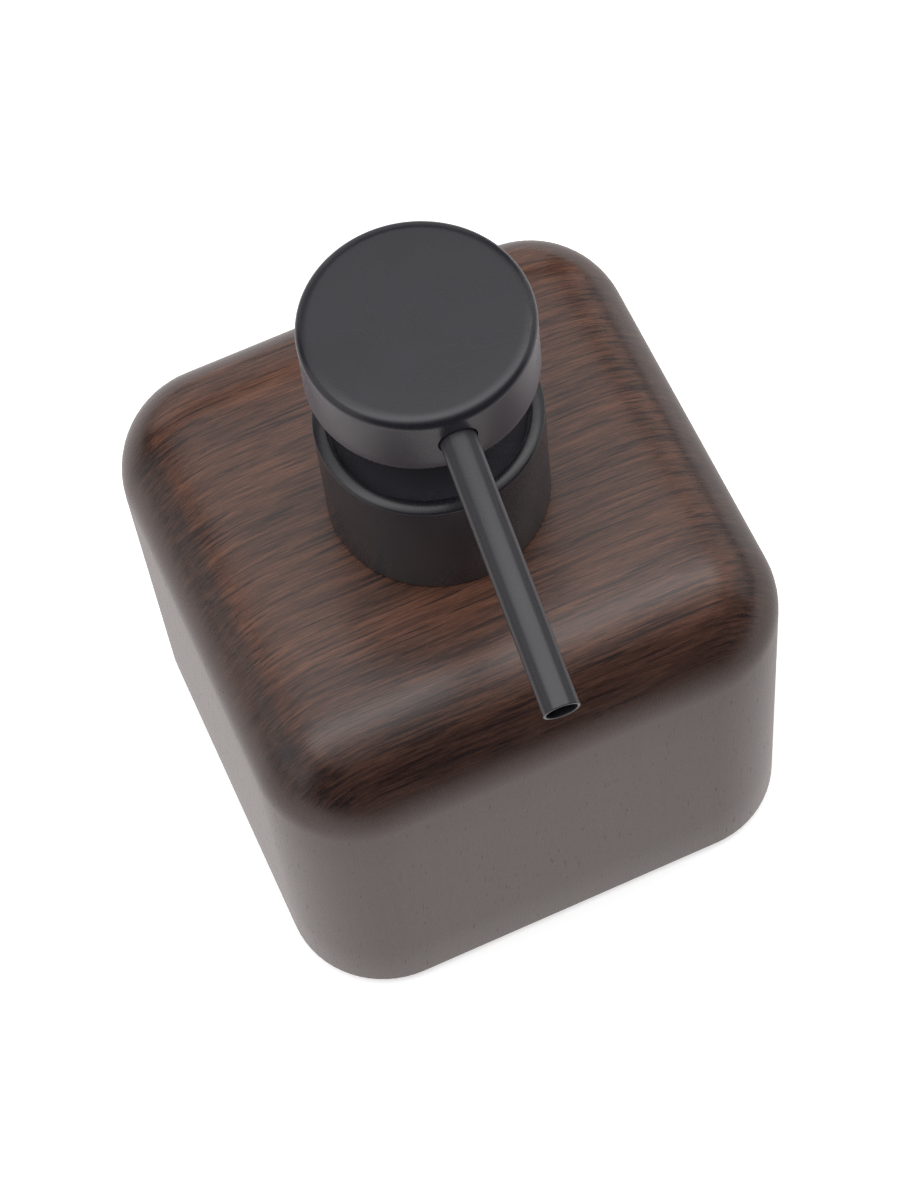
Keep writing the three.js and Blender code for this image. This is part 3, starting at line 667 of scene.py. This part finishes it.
def build_liner():
    """Blow-moulded bottle inside the block, with a threaded neck."""
    low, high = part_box("inner_bottle")
    half, bottom, rim = high[0], low[2], high[2]
    corner = corner_radius("inner_bottle")
    bore, neck = radii("inner_bottle", rim - MM, rim)
    shoulder = heights("inner_bottle", neck + 2 * THREAD_HEIGHT, 2 * half)[1]
    outer = liner_skin(half, corner, bottom, shoulder, LINER_FOOT_RADIUS, LINER_SHOULDER_RADIUS, neck)
    inner = liner_skin(
        half - LINER_WALL, corner - LINER_WALL, bottom + LINER_WALL, shoulder - LINER_WALL,
        LINER_FOOT_RADIUS / 2, LINER_SHOULDER_RADIUS - LINER_WALL, bore,
    )
    guide = outer[0]
    lip = [
        round_ring(neck, rim - RIM_SOFTENING, guide),
        round_ring(neck - RIM_SOFTENING, rim, guide),
        round_ring(bore + RIM_SOFTENING, rim, guide),
        round_ring(bore, rim - RIM_SOFTENING, guide),
    ]
    mesh = loft("liner_bottle", outer + lip + inner[::-1])
    new_piece("liner_bottle", mesh, NATURAL_PLASTIC, "bottle", ("inner_bottle",))

    def ridge(turn):
        to_end = min(turn, THREAD_TURNS - turn)
        rise = THREAD_HEIGHT * min(1, THREAD_END_HEIGHT + to_end / THREAD_RUN_OUT)
        level = rim - THREAD_BELOW_RIM + THREAD_PITCH * turn
        foot, crest = 0.9 * THREAD_HEIGHT, 0.35 * THREAD_HEIGHT
        root = neck - LINER_WALL / 4
        below = [(root, level - foot), (neck, level - foot), (neck + rise, level - crest)]
        above = [(neck + rise, level + crest), (neck, level + foot), (root, level + foot)]
        return below + above

    mesh = swept_about_z("liner_thread", ridge, THREAD_TURNS, 96)
    new_piece("liner_thread", mesh, NATURAL_PLASTIC, "bottle")


build_liner()


# ---------------------------------------------------------------- collar and closure

LIP_DEPTH = 1.2 * MM
FLOOR_FILLET = 0.5 * MM
HOLE_CHAMFER = 0.3 * MM
FLUTES = 20
FLUTE_DEPTH = 0.6 * MM
NUT_PLAIN_BAND = 2 * MM
NUT_TOP_THICKNESS = 1.4 * MM


def domed_lip(outer, inner, top):
    """Outline over a wide lip: small outer edge, low dome leaning outwards, small inner edge."""
    slopes = [90, 75, 60, 45, 34, 30, 27, 24, 21, 18, 15, 12, 9, 5, 0, -10, -30, -60, -90]
    lengths = [0.12 if slope > 35 or slope < -5 else 0.2 for slope in slopes]
    points = [(0.0, 0.0)]
    for slope, length in zip(slopes, lengths):
        r, z = points[-1]
        angle = math.radians(slope)
        points.append((r - length * math.cos(angle), z + length * math.sin(angle)))
    width = -min(r for r, z in points)
    crest = max(z for r, z in points)
    scale = (outer - inner) / width
    return [(outer + r * scale, top + (z - crest) * scale) for r, z in points]


def build_collar():
    """Metal cup with a wide domed lip and a sunken floor."""
    low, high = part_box("collar_shell")
    radius, bottom, top = high[0], low[2], high[2]
    skirt_inner = radii("collar_shell", bottom, bottom + MM)[0]
    lip_inner = radii("collar_shell", top - 2 * MM, top)[0]
    underside, floor = heights("collar_shell", 0, lip_inner - MM)
    hole = radii("collar_shell", underside, floor)[0]
    outline = [(skirt_inner, bottom), (radius, bottom), (radius, top - LIP_DEPTH)]
    outline += domed_lip(radius, lip_inner, top)
    outline += [
        (lip_inner, floor + FLOOR_FILLET),
        (lip_inner - 0.3 * FLOOR_FILLET, floor + 0.3 * FLOOR_FILLET),
        (lip_inner - FLOOR_FILLET, floor),
        (hole + HOLE_CHAMFER, floor),
        (hole, floor - HOLE_CHAMFER),
        (hole, underside),
        (skirt_inner, underside),
    ]
    profile = rounded_profile(outline, True, 0.1 * MM, 2)
    mesh = turn_about_z("collar_cup", profile, True, 192)
    # The dish inside the lip is painted paler black as painted light; the coating is one black.
    coating = satin_black("satin_black_cup", PLAIN_SHEEN, painted_light_within=lip_inner)
    new_piece("collar_cup", mesh, coating, "collar", ("collar_shell",))


def build_nut():
    """Closure nut with its grip grooves cut as soft flutes."""
    low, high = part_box("closure_nut")
    radius, bottom, top = high[0], low[2], high[2]
    skirt_inner = radii("closure_nut", bottom, bottom + MM)[0]
    hole = radii("closure_nut", top - MM, top)[0]
    flutes_end = top - NUT_PLAIN_BAND

    def fluted(r, z, angle):
        if r < skirt_inner + FLUTE_DEPTH or z > flutes_end:
            return r
        depth = max(0.0, math.cos(angle * FLUTES)) ** 2 * FLUTE_DEPTH
        return min(r, radius - depth)

    outline = [
        (skirt_inner, bottom),
        (radius, bottom),
        (radius, flutes_end - 0.2 * MM),
        (radius, flutes_end + 0.1 * MM),
        (radius, top),
        (hole, top),
        (hole, top - NUT_TOP_THICKNESS),
        (skirt_inner, top - NUT_TOP_THICKNESS),
    ]
    profile = rounded_profile(outline, True)
    mesh = turn_about_z("nut_fluted", profile, True, FLUTES * 12, fluted)
    new_piece("nut_fluted", mesh, BLACK_PLASTIC, "collar", ("closure_nut",))


build_collar()
build_nut()
refined_round("housing_gasket", RUBBER, "seal")


# ---------------------------------------------------------------- pump

SPRING_WIRE = 0.45 * MM
SPRING_TURNS = 7
SPRING_MEAN_RADIUS = 4.6 * MM
SPRING_COIL_GAP = 0.1 * MM
WIRE_SIDES = 12
DIP_TUBE_WALL = 0.8 * MM
DIP_TUBE_SLANT = math.radians(30)


def build_ball():
    """Polished inlet ball."""
    low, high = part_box("inlet_ball")
    bm = bmesh.new()
    bmesh.ops.create_icosphere(bm, subdivisions=4, radius=(high[2] - low[2]) / 2)
    bmesh.ops.translate(bm, verts=bm.verts, vec=(Vector(low) + Vector(high)) / 2)
    mesh = finished_mesh("ball_polished", bm)
    new_piece("ball_polished", mesh, STEEL, "ball", ("inlet_ball",))


def build_spring():
    """Round-wire spring with a closed coil at each end."""
    low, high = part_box("return_spring")
    length = high[2] - low[2]
    closed_pitch = 2 * SPRING_WIRE + SPRING_COIL_GAP
    open_turns = SPRING_TURNS - 2
    open_pitch = (length - 2 * SPRING_WIRE - 2 * closed_pitch) / open_turns
    around = [2 * math.pi * k / WIRE_SIDES for k in range(WIRE_SIDES)]

    def section(turn):
        rise = min(turn, 1) * closed_pitch + min(max(turn - 1, 0), open_turns) * open_pitch
        rise += max(turn - SPRING_TURNS + 1, 0) * closed_pitch
        centre = low[2] + SPRING_WIRE + rise
        return [
            (SPRING_MEAN_RADIUS + SPRING_WIRE * math.cos(a), centre + SPRING_WIRE * math.sin(a))
            for a in around
        ]

    mesh = swept_about_z("spring_wire", section, SPRING_TURNS, 40)
    spring = new_piece("spring_wire", mesh, STEEL, "pump", ("return_spring",))
    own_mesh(spring)


def build_dip_tube():
    """Milky dip tube, its foot cut on the slant."""
    low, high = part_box("dip_tube")
    radius = high[0]
    bore = radius - DIP_TUBE_WALL
    foot, top = low[2] - radius, high[2]
    outline = [(bore, foot), (radius, foot), (radius, top), (bore, top)]
    mesh = turn_about_z("dip_tube_fine", rounded_profile(outline, True), True, 64)
    bm = bmesh.new()
    bm.from_mesh(mesh)
    bmesh.ops.bisect_plane(
        bm,
        geom=bm.verts[:] + bm.edges[:] + bm.faces[:],
        plane_co=(0, 0, low[2] + radius * math.tan(DIP_TUBE_SLANT)),
        plane_no=(-math.sin(DIP_TUBE_SLANT), 0, -math.cos(DIP_TUBE_SLANT)),
        clear_outer=True,
    )
    rim = [e for e in bm.edges if e.is_boundary]
    bmesh.ops.bridge_loops(bm, edges=rim)
    bpy.data.meshes.remove(mesh)
    mesh = finished_mesh("dip_tube_fine", bm)
    new_piece("dip_tube_fine", mesh, CLEAR_PLASTIC, "pump", ("dip_tube",))


refined_round("pump_housing", NATURAL_PLASTIC, "pump")
refined_round("chaplet", BLACK_PLASTIC, "pump")
build_dip_tube()
build_ball()
keep("ball_retainer", NATURAL_PLASTIC)
build_spring()
refined_round("stem_plug", NATURAL_PLASTIC, "plunger")
refined_round("piston", CLEAR_PLASTIC, "piston")
refined_round("stem", BLACK_PLASTIC, "head", rounding=0.25 * MM)


# ---------------------------------------------------------------- head and spout

SPOUT_WALL = 0.45 * MM
SPOUT_ROUNDING = 0.16 * MM
SPOUT_HOLE_CLEARANCE = 0.3 * MM
SPOUT_HOLE_START, SPOUT_HOLE_END = 4 * MM, 14 * MM
HEAD_WALL = 1.2 * MM
HEAD_EDGE = 1.8 * MM
HEAD_EASE = math.radians(20)
HEAD_EASE_RADIUS = 3.8 * MM
HEAD_FOOT_ROUNDING = 0.2 * MM
HEAD_INNER_EDGE = 0.4 * MM
HEAD_FOOT_HEIGHT = 2 * MM
TOP_RING_GAP = 4 * MM
TOP_RINGS = 3
O_RING_THICKNESS = 0.45 * MM
O_RING_GAP = 0.05 * MM


def spout_line():
    """Start, end and radius of the spout tube, from its CAD solid."""
    points = np.array([v.co[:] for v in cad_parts["spout_tube"].data.vertices])
    middle = points.mean(axis=0)
    direction = np.linalg.svd(points - middle, full_matrices=False)[2][0]
    direction = direction if direction[1] < 0 else -direction
    along = (points - middle) @ direction
    radius = np.linalg.norm((points - middle) - np.outer(along, direction), axis=1).max()
    start, end = middle + along.min() * direction, middle + along.max() * direction
    return Vector(start), Vector(end), float(radius)


def laid_along(mesh, start, end):
    """Turns a mesh built up +Z from the origin so that it runs from start towards end."""
    turn = (end - start).to_track_quat("Z", "Y").to_matrix().to_4x4()
    mesh.transform(Matrix.Translation(start) @ turn)
    return mesh


def build_spout():
    """Thin-walled spout tube, square-cut at its open end."""
    start, end, radius = spout_line()
    bore = radius - SPOUT_WALL
    length = (end - start).length
    outline = [(bore, 0), (radius, 0), (radius, length), (bore, length)]
    profile = rounded_profile(outline, True, SPOUT_ROUNDING, 5)
    mesh = laid_along(turn_about_z("spout_pipe", profile, True, 96), start, end)
    new_piece("spout_pipe", mesh, SATIN_BLACK, "head", ("spout_tube",))


def build_head():
    """Press head: thick cap with a crisp rounded top edge and a clean hole for the spout."""
    low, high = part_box("head_shell")
    radius, bottom, top = high[0], low[2], high[2]
    inner, roof = radius - HEAD_WALL, top - HEAD_WALL
    foot_top = bottom + HEAD_FOOT_HEIGHT
    foot = [(inner, foot_top), (inner, bottom), (radius, bottom), (radius, foot_top)]
    profile = rounded_profile(foot, False, HEAD_FOOT_ROUNDING)
    profile += eased_edge(radius, top, HEAD_EDGE, HEAD_EASE, HEAD_EASE_RADIUS)
    for _ in range(TOP_RINGS):
        profile.append((profile[-1][0] - TOP_RING_GAP, top))
    profile += [(0, top), (0, roof), (inner - HEAD_INNER_EDGE, roof), (inner, roof - HEAD_INNER_EDGE)]
    mesh = turn_about_z("head_cap", [Vector(p) for p in profile], True, 192)
    head = new_piece("head_cap", mesh, SATIN_BLACK_HEAD, "head", ("head_shell",))
    start, end, tube_radius = spout_line()
    hole_radius = tube_radius + SPOUT_HOLE_CLEARANCE
    hole = [
        (0, SPOUT_HOLE_START),
        (hole_radius, SPOUT_HOLE_START),
        (hole_radius, SPOUT_HOLE_END),
        (0, SPOUT_HOLE_END),
    ]
    cutter_mesh = laid_along(turn_about_z("spout_hole", hole, False, 64), start, end)
    cutter = bpy.data.objects.new("spout_hole", cutter_mesh)
    bpy.context.scene.collection.objects.link(cutter)
    cut = head.modifiers.new("spout_hole", "BOOLEAN")
    cut.object = cutter
    cut.operation = "DIFFERENCE"
    cut.solver = "EXACT"
    bpy.context.view_layer.update()
    evaluated = head.evaluated_get(bpy.context.evaluated_depsgraph_get())
    cut_mesh = bpy.data.meshes.new_from_object(evaluated)
    head.modifiers.clear()
    head.data = cut_mesh
    bpy.data.objects.remove(cutter)
    dress(head, SATIN_BLACK_HEAD)


def build_o_ring():
    """Rubber ring round the spout inside its socket."""
    start, end, tube_radius = spout_line()
    low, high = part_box("spout_o_ring")
    middle = (Vector(low) + Vector(high)) / 2
    direction = (end - start).normalized()
    centre = tube_radius + O_RING_THICKNESS + O_RING_GAP
    around = [2 * math.pi * k / 16 for k in range(16)]
    ring = [(centre + O_RING_THICKNESS * math.cos(a), O_RING_THICKNESS * math.sin(a)) for a in around]
    seat = start + direction * (middle - start).dot(direction)
    mesh = laid_along(turn_about_z("o_ring_fine", ring, True, 64), seat, seat + direction)
    new_piece("o_ring_fine", mesh, RUBBER, "head", ("spout_o_ring",))


build_head()
build_spout()
build_o_ring()
keep("head_core", BLACK_PLASTIC)
refined_round("head_cover", BLACK_PLASTIC, "head")


# ---------------------------------------------------------------- studio

FLOOR_HALF, FLOOR_HEIGHT = 3.0, -0.1 * MM
CARD_HALF, CARD_HEIGHT = 0.9, -2 * MM
CARD_COLOUR = (1.0, 0.95, 0.94, 1.0)
CAMERA_ANGLES = (-16.759, 62.815, -7.926)
CAMERA_TARGET = (-1.452, -2.438, 47.5)
CAMERA_DISTANCE = 626.0 * MM
CAMERA_LENS, CAMERA_SENSOR = 105.81, 36


def flat_square(name, half, height):
    """Level square that is part of the studio and not of the dispenser."""
    bm = bmesh.new()
    bmesh.ops.create_grid(bm, x_segments=2, y_segments=2, size=half)
    bmesh.ops.translate(bm, verts=bm.verts, vec=(0, 0, height))
    square = bpy.data.objects.new(name, finished_mesh(name, bm))
    bpy.context.scene.collection.objects.link(square)
    return square


def studio_floor():
    """Pale paper floor, and under it a card that is all that glossy surfaces see of it."""
    floor = flat_square("floor", FLOOR_HALF, FLOOR_HEIGHT)
    n = Nodes("floor_paper")
    n.set(Specular_IOR_Level=0.2)
    cloud = n.noise(n.place, 3)
    colour = n.ramp(cloud, (0.3, (0.69, 0.69, 0.69)), (0.7, (0.71, 0.71, 0.71)))
    n.set(Emission_Color=(1, 1, 1, 1))
    n.link(n.span(n.length(n.place), 0.4, 1.3, 0.6, 1.1), n.shader.inputs["Emission Strength"])
    floor.data.materials.append(n.finish(colour, n.span(cloud, 0.3, 0.7, 0.85, 0.95)))
    floor.visible_glossy = False

    card = flat_square("floor_card", CARD_HALF, CARD_HEIGHT)
    n = Nodes("floor_card")
    split = n.tree.nodes.new("ShaderNodeSeparateXYZ")
    n.link(n.place, split.inputs[0])
    # Glossy surfaces see the floor fade out towards the front and darken a little to each side; close to
    # the block the card is dimmed as a painted shade of the block on the floor.
    front = n.span(split.outputs["Y"], -0.34, -0.09, 0.1, 1.07)
    left = n.span(split.outputs["X"], -0.5, -0.1, 0.6, 0.98)
    right = n.span(split.outputs["X"], 0.02, 0.12, 1.0, 0.74)
    far_right = n.span(split.outputs["X"], 0.12, 0.3, 1.0, 1.35)
    # Painted shade: the card glows less close to the block, where the block shades the floor.
    near = n.span(split.outputs["Y"], -0.12, -0.05, 1.0, 0.84)
    glow = n.tree.nodes.new("ShaderNodeEmission")
    glow.inputs["Color"].default_value = CARD_COLOUR
    across = n.maths("MULTIPLY", left, n.maths("MULTIPLY", right, far_right))
    along = n.maths("MULTIPLY", front, near)
    n.link(n.maths("MULTIPLY", across, along), glow.inputs["Strength"])
    n.link(glow.outputs[0], n.tree.nodes["Material Output"].inputs["Surface"])
    card.data.materials.append(n.material)
    card.visible_camera = False
    card.visible_diffuse = False
    card.visible_transmission = False
    card.visible_shadow = False


def soft_light(name, place, aim, size, radiance, shown_in_gloss=True):
    """Rectangular soft light of an even radiance, facing the point it is aimed at."""
    data = bpy.data.lights.new(name, "AREA")
    data.shape = "RECTANGLE"
    data.size, data.size_y = size
    data.energy = radiance * math.pi * size[0] * size[1]
    light = bpy.data.objects.new(name, data)
    light.location = place
    light.rotation_euler = (Vector(aim) - Vector(place)).to_track_quat("-Z", "Y").to_euler()
    light.visible_glossy = shown_in_gloss
    light.visible_camera = False
    bpy.context.scene.collection.objects.link(light)


def studio_lights():
    """A ceiling light, brightest overhead and dim towards the front, and walls on three sides."""
    soft_light("ceiling", (0.0, 0.25, 1.2), (0.0, 0.25, 0), (3.0, 1.5), 1.1)
    soft_light("ceiling_band", (0.0, 0.02, 1.195), (0.0, 0.02, 0), (2.7, 0.9), 0.64)
    soft_light("ceiling_strip", (0.0, -0.02, 1.19), (0.0, -0.02, 0), (2.5, 0.36), 1.1)
    soft_light("ceiling_front", (0.0, -0.75, 1.2), (0.0, -0.75, 0), (2.4, 0.5), 0.5)
    soft_light("left_wall", (-1.45, 0.15, 0.55), (0, 0.15, 0.55), (1.5, 1.1), 0.85)
    soft_light("right_wall", (1.45, 0.2, 0.6), (0, 0.2, 0.6), (1.5, 1.0), 0.8)
    soft_light("back_wall", (0.0, 1.5, 0.6), (0, 0, 0.6), (2.2, 1.0), 0.68)
    soft_light("fill", (0, 0, 1.6), (0, 0, 0), (2.4, 2.4), 0.5, shown_in_gloss=False)
    world = bpy.data.worlds.new("studio")
    bpy.context.scene.world = world
    world.use_nodes = True
    background = world.node_tree.nodes["Background"]
    background.inputs["Color"].default_value = (1, 1, 1, 1)
    background.inputs["Strength"].default_value = 1.0
    world.cycles_visibility.glossy = False
    world.cycles_visibility.diffuse = False


def studio_camera():
    """Camera at the photograph's viewing angle, with its slight roll."""
    azimuth, elevation, roll = (math.radians(angle) for angle in CAMERA_ANGLES)
    target = Vector(CAMERA_TARGET) * MM
    back = Vector((
        math.sin(azimuth) * math.cos(elevation),
        -math.cos(azimuth) * math.cos(elevation),
        math.sin(elevation),
    ))
    right = Vector((0, 0, 1)).cross(back).normalized()
    up = back.cross(right)
    right, up = (
        math.cos(roll) * right + math.sin(roll) * up,
        math.cos(roll) * up - math.sin(roll) * right,
    )
    data = bpy.data.cameras.new("camera")
    data.lens = CAMERA_LENS
    data.sensor_width = CAMERA_SENSOR
    data.clip_start = 0.01
    camera = bpy.data.objects.new("camera", data)
    camera.matrix_world = Matrix.Translation(target + back * CAMERA_DISTANCE) @ (
        Matrix((right, up, back)).transposed().to_4x4()
    )
    bpy.context.scene.collection.objects.link(camera)
    bpy.context.scene.camera = camera


studio_floor()
studio_lights()
studio_camera()
bpy.context.scene.view_settings.view_transform = "Standard"
